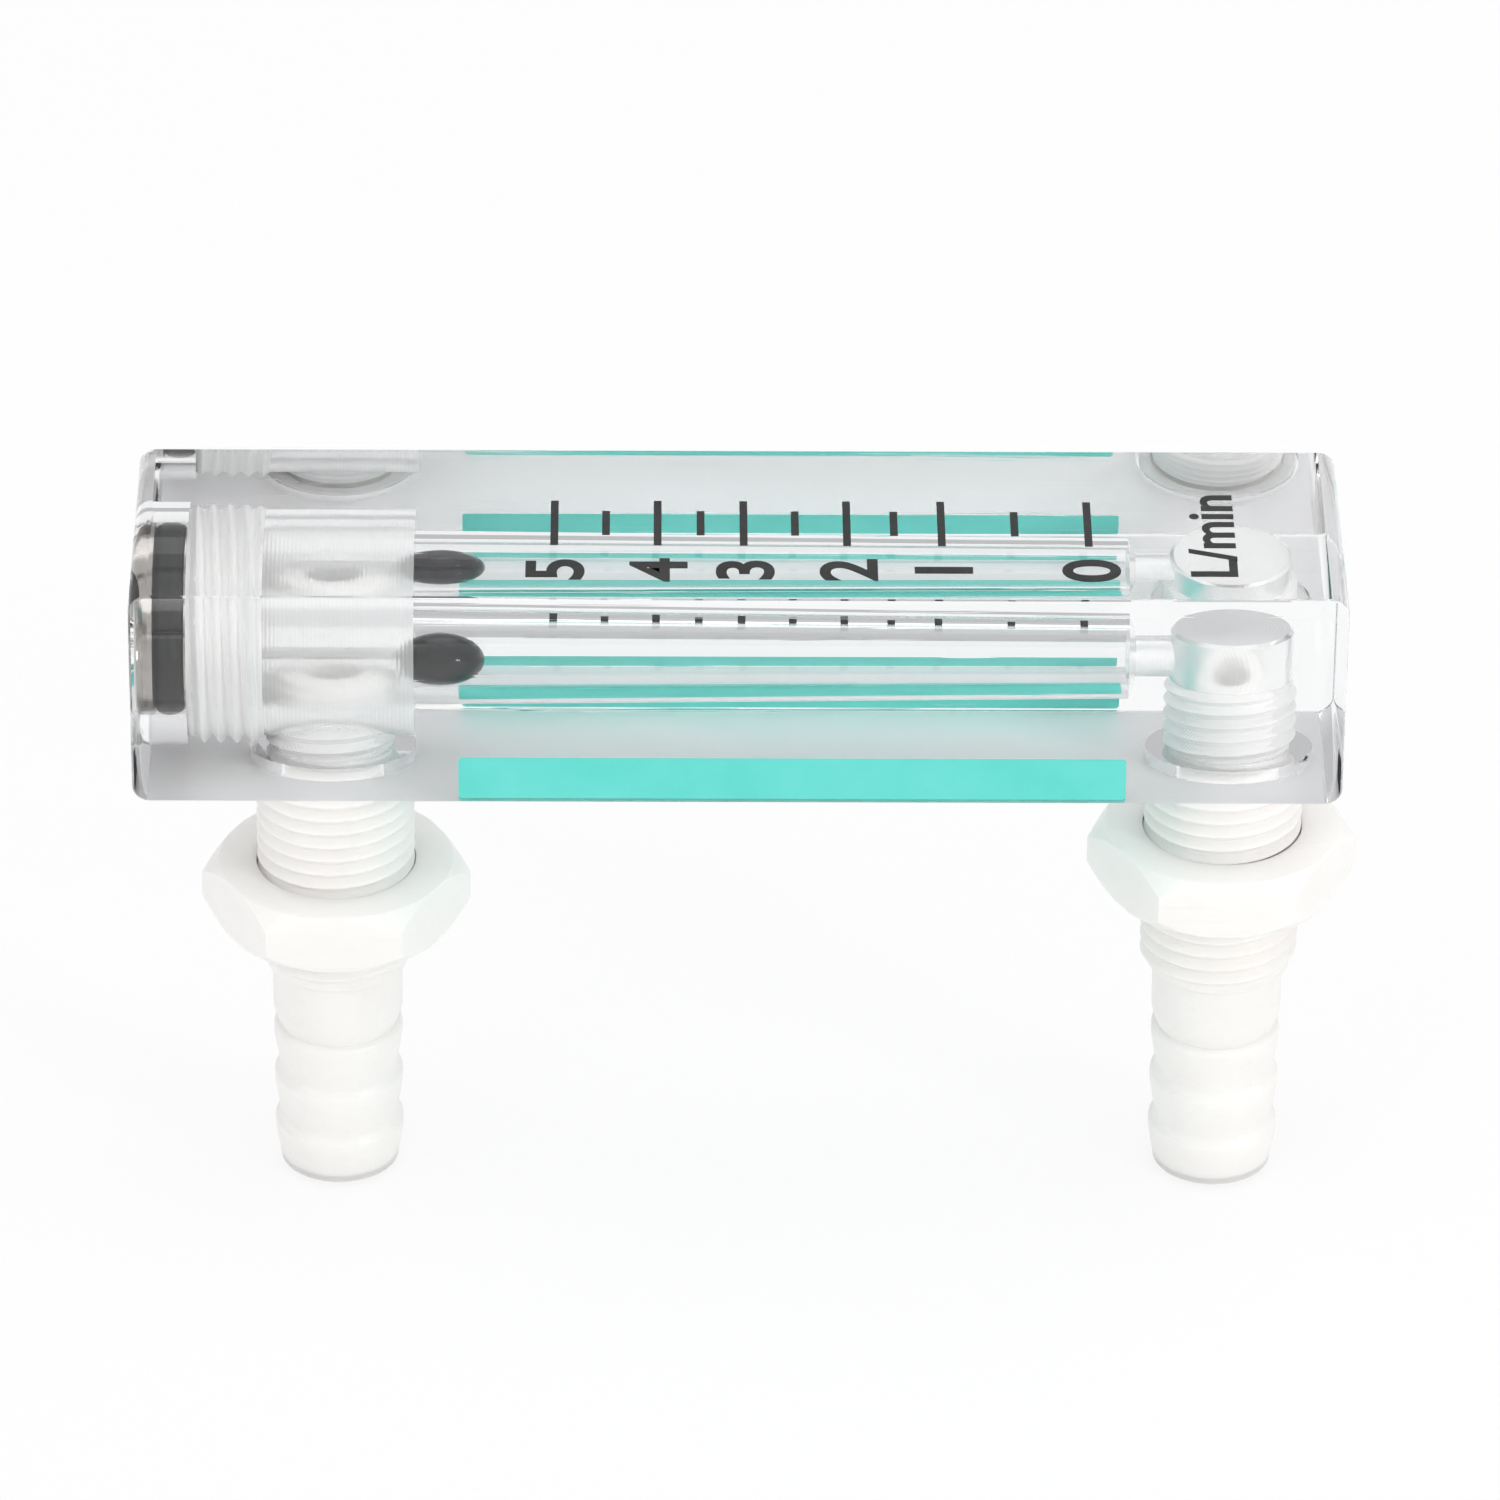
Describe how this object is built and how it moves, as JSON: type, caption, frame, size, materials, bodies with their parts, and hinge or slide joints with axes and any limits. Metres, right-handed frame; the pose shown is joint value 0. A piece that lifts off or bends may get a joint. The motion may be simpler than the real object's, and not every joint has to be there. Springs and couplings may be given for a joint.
{
  "type": "oxygen flowmeter",
  "caption": "Clear acrylic block flowmeter with a ball float in a tapered tube, a sealed metal end plug, and hose barb fittings with panel nuts on its back.",
  "frame": {"origin": "on the block's flat back face, midway between the two ports", "axes": "+X along the metering tube towards the inlet end, +Z from the back face to the printed front face, hose barbs along -Z"},
  "size_m": [0.1042, 0.025, 0.0638],
  "materials": {
    "clear_acrylic": "polished clear",
    "nickel_plate": "polished",
    "black_rubber": "satin",
    "float_black": "polished",
    "steel_pin": "drawn",
    "white_nylon": "satin, slightly translucent",
    "clear_silicone": "matte",
    "teal_ink": "printed",
    "black_ink": "printed"
  },
  "bodies": {
    "housing": {"clear_block": "clear_acrylic", "end_plug": "nickel_plate", "plug_o_ring": "black_rubber", "float_stop_pin": "steel_pin", "inlet_hose_fitting": "white_nylon", "outlet_hose_fitting": "white_nylon", "inlet_port_gasket": "clear_silicone", "outlet_port_gasket": "clear_silicone", "inlet_panel_nut": "white_nylon", "outlet_panel_nut": "white_nylon"},
    "float": {"float_ball": "float_black"}
  },
  "joints": [
    {"name": "float_slide", "type": "slide", "parent": "housing", "child": "float", "axis": [0.9999, 0, 0.0124], "range_m": [0, 0.0547]}
  ]
}
